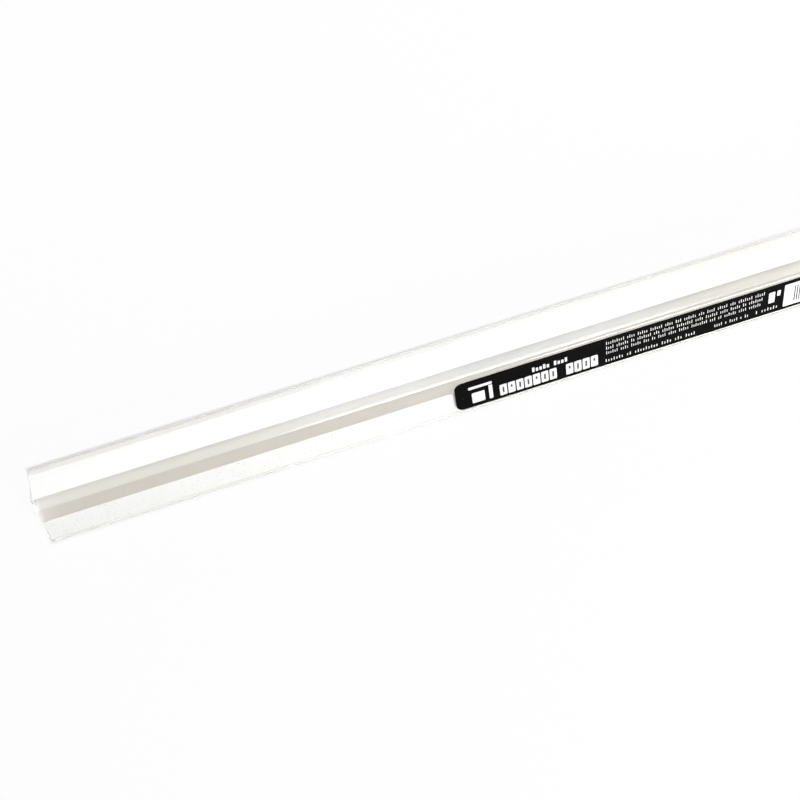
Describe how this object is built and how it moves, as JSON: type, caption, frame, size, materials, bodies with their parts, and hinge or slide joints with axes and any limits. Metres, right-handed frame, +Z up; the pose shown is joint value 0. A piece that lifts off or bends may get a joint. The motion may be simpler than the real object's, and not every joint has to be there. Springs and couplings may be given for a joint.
{
  "type": "corner guard moulding",
  "caption": "Clear plastic angle moulding that sticks over an outside wall corner to guard it, with an adhesive strip under release paper inside each flange and a black printed label.",
  "frame": {"origin": "on the floor under the apex, at the middle of the length", "axes": "+X along the stock, +Y towards the flange without a label, +Z up from the floor to the apex"},
  "size_m": [1.2205, 0.0266, 0.0135],
  "materials": {
    "clear_plastic": "gloss",
    "clear_adhesive": "satin",
    "release_paper": "matte",
    "label_film": "satin"
  },
  "bodies": {
    "root": {"corner_guard": "clear_plastic", "adhesive_strip_front": "clear_adhesive", "adhesive_strip_rear": "clear_adhesive", "release_paper_front": "release_paper", "release_paper_rear": "release_paper", "label": "label_film"}
  },
  "joints": []
}
